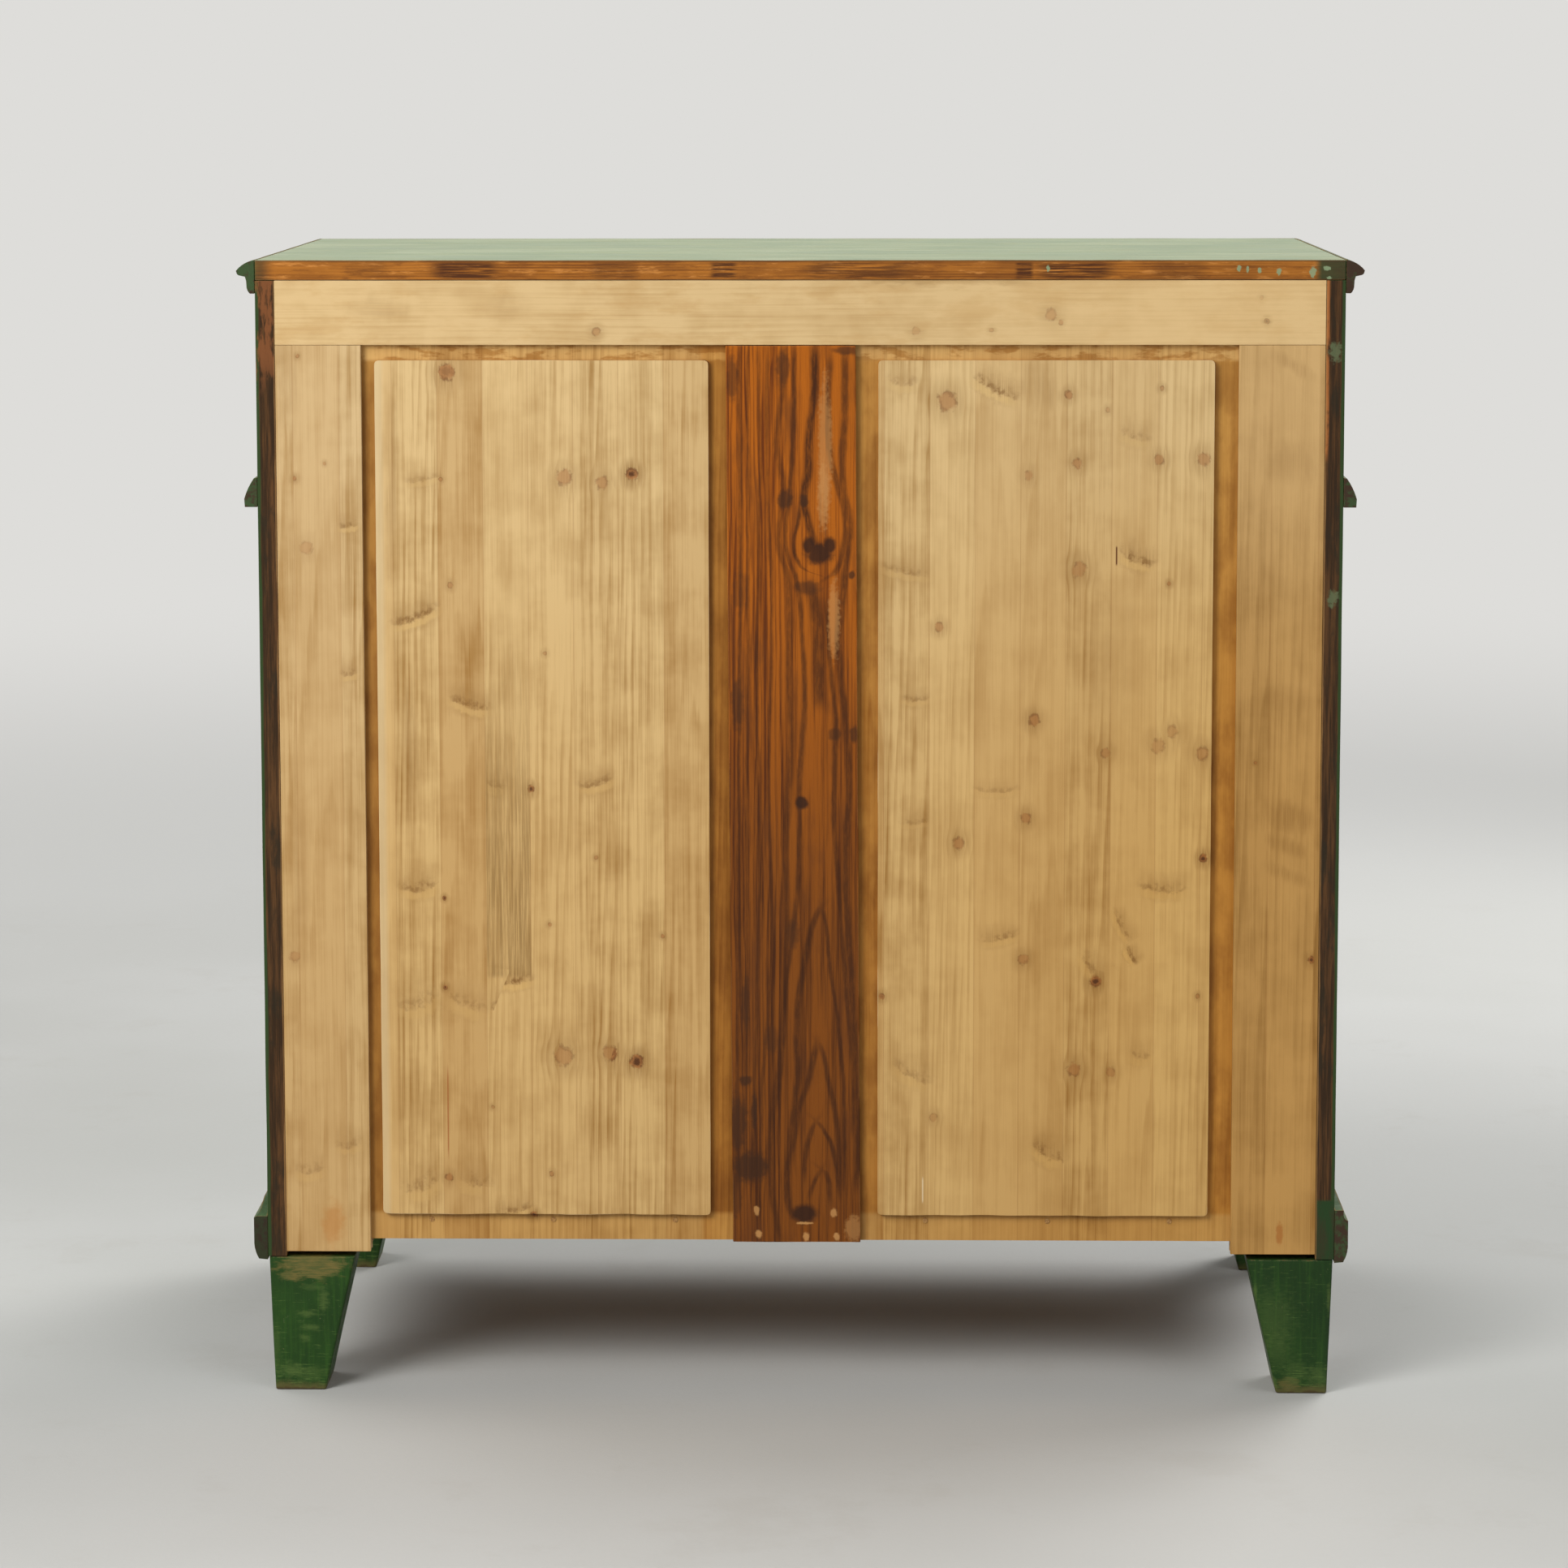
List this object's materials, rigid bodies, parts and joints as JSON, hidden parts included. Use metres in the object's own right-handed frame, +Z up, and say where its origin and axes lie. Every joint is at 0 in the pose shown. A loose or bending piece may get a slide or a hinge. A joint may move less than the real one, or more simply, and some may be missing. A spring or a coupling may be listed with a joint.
{
  "type": "kitchen dresser",
  "caption": "Painted pine kitchen dresser base on tapered feet, with sliding drawers over panelled doors, a key-worked lock, and a back of framed pine panels.",
  "frame": {"origin": "on the floor, under the middle of the bounding box", "axes": "+Z up, -Y towards the front with its doors and drawers, +X to the right as seen from the front"},
  "size_m": [1.0446, 0.578, 1.075],
  "materials": {
    "green_paint": "old dark green paint, satin, worn through to bare wood along edges",
    "top_paint": "thin pale green paint, rubbed along the grain",
    "new_pine": "bare new pine, planed, pale and knotty",
    "panel_pine": "bare new pine, glued from narrow strips, pale and knotty",
    "old_pine": "old resinous pine, dark and strongly figured, dry",
    "inside_pine": "bare old pine, darkened by age, dry",
    "dark_iron": "dark wrought iron, dull with a trace of rust",
    "worn_iron": "handled iron, smooth and greyish",
    "old_brass": "tarnished brass, brighter round the keyhole"
  },
  "bodies": {
    "carcass": {"top_board": "top_paint", "cornice_front": "green_paint", "cornice_returns": "green_paint", "side_left": "green_paint", "side_right": "green_paint", "waist_moulding_front": "green_paint", "waist_moulding_returns": "green_paint", "base_moulding_front": "green_paint", "base_moulding_returns": "green_paint", "bottom_board": "inside_pine", "shelf": "inside_pine", "front_post_left": "green_paint", "front_post_right": "green_paint", "front_top_rail": "green_paint", "drawer_rail": "green_paint", "drawer_divider": "green_paint", "drawer_runners": "inside_pine", "front_bottom_rail": "green_paint", "back_top_rail": "new_pine", "back_stile_left": "new_pine", "back_stile_right": "new_pine", "back_muntin": "old_pine", "back_panel_left": "panel_pine", "back_panel_right": "panel_pine", "foot_front_left": "green_paint", "foot_front_right": "green_paint", "foot_back_left": "green_paint", "foot_back_right": "green_paint", "corner_blocks": "inside_pine", "carcass_nails": "dark_iron", "hinge_post_leaves": "dark_iron", "hinge_pins": "worn_iron", "hinge_post_screws": "worn_iron"},
    "left_door": {"left_door_hinge_stile": "green_paint", "left_door_meeting_stile": "green_paint", "left_door_rails": "green_paint", "left_door_panel": "green_paint", "left_door_hinge_leaves": "dark_iron", "left_door_screws": "worn_iron"},
    "right_door": {"right_door_hinge_stile": "green_paint", "right_door_meeting_stile": "green_paint", "right_door_rails": "green_paint", "right_door_panel": "green_paint", "right_door_hinge_leaves": "dark_iron", "right_door_screws": "worn_iron", "lock_case": "dark_iron", "keyhole_plate": "old_brass"},
    "turn_button": {"turn_button": "inside_pine"},
    "lock_bolt": {"lock_bolt": "worn_iron"},
    "key": {"key": "worn_iron"},
    "left_drawer": {"left_drawer_front": "green_paint", "left_drawer_sides": "inside_pine", "left_drawer_back": "inside_pine", "left_drawer_bottom": "inside_pine", "left_drawer_knob": "green_paint"},
    "right_drawer": {"right_drawer_front": "green_paint", "right_drawer_sides": "inside_pine", "right_drawer_back": "inside_pine", "right_drawer_bottom": "inside_pine", "right_drawer_knob": "green_paint"}
  },
  "joints": [
    {"name": "left_drawer_slide", "type": "slide", "parent": "carcass", "child": "left_drawer", "axis": [0, -1, 0], "range_m": [0, 0.36]},
    {"name": "right_drawer_slide", "type": "slide", "parent": "carcass", "child": "right_drawer", "axis": [0, -1, 0], "range_m": [0, 0.36]},
    {"name": "left_door_hinge", "type": "hinge", "parent": "carcass", "child": "left_door", "pos_m": [-0.4535, -0.255, 0.512], "axis": [0, 0, -1], "range_deg": [0, 110]},
    {"name": "right_door_hinge", "type": "hinge", "parent": "carcass", "child": "right_door", "pos_m": [0.4535, -0.255, 0.512], "axis": [0, 0, 1], "range_deg": [0, 110]},
    {"name": "button_turn", "type": "hinge", "parent": "left_door", "child": "turn_button", "pos_m": [-0.0525, -0.222, 0.815], "axis": [0, 1, 0], "range_deg": [0, 90]},
    {"name": "key_turn", "type": "hinge", "parent": "right_door", "child": "key", "pos_m": [0.0365, -0.251, 0.6], "axis": [0, 1, 0], "range_deg": [0, 180]},
    {"name": "bolt_throw", "type": "slide", "parent": "right_door", "child": "lock_bolt", "axis": [-1, 0, 0], "range_m": [0, 0.012]}
  ],
  "couplings": [
    {"joint": "key_turn", "follows": "bolt_throw", "rad_per_m": 261.7}
  ]
}
